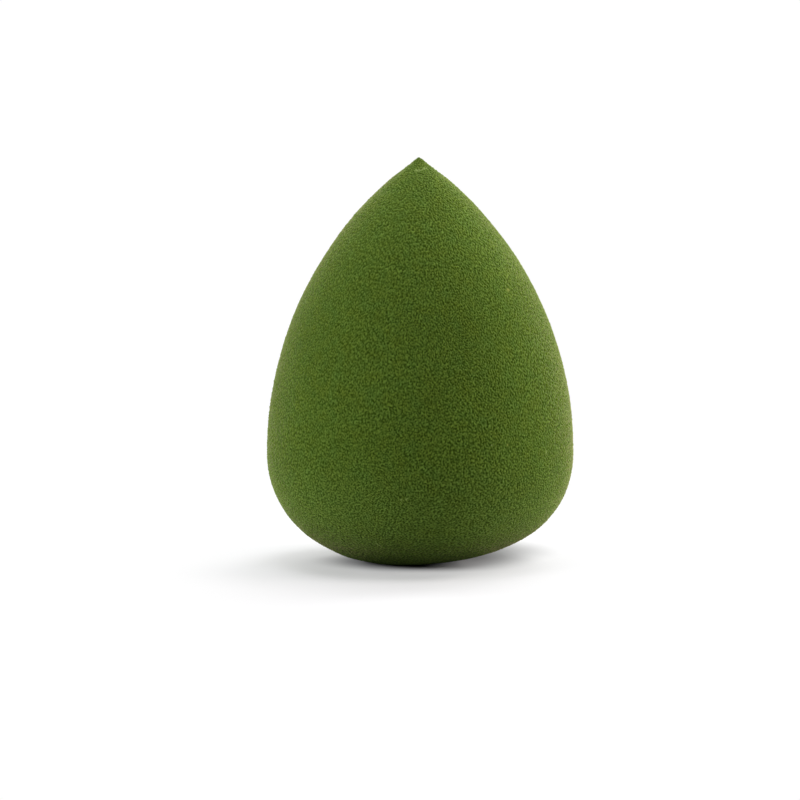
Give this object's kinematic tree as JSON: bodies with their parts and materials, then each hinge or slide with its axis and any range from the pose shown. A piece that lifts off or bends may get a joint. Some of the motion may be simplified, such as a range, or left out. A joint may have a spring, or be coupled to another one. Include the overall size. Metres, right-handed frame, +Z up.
{
  "type": "makeup sponge",
  "caption": "Soft foam makeup sponge in a pointed egg shape, widest low down, standing on a small flat foot.",
  "frame": {"origin": "middle of the flat foot, on the surface that the sponge stands on", "axes": "+Z up along the sponge's axis to its point; the sponge is round, so X and Y are alike, and the picture looks along +Y"},
  "size_m": [0.0452, 0.0452, 0.06],
  "materials": {
    "foam": "matte olive green open-cell foam, ground to shape, with fine pores half a millimetre apart all over"
  },
  "bodies": {
    "root": {"sponge": "foam"}
  },
  "joints": []
}
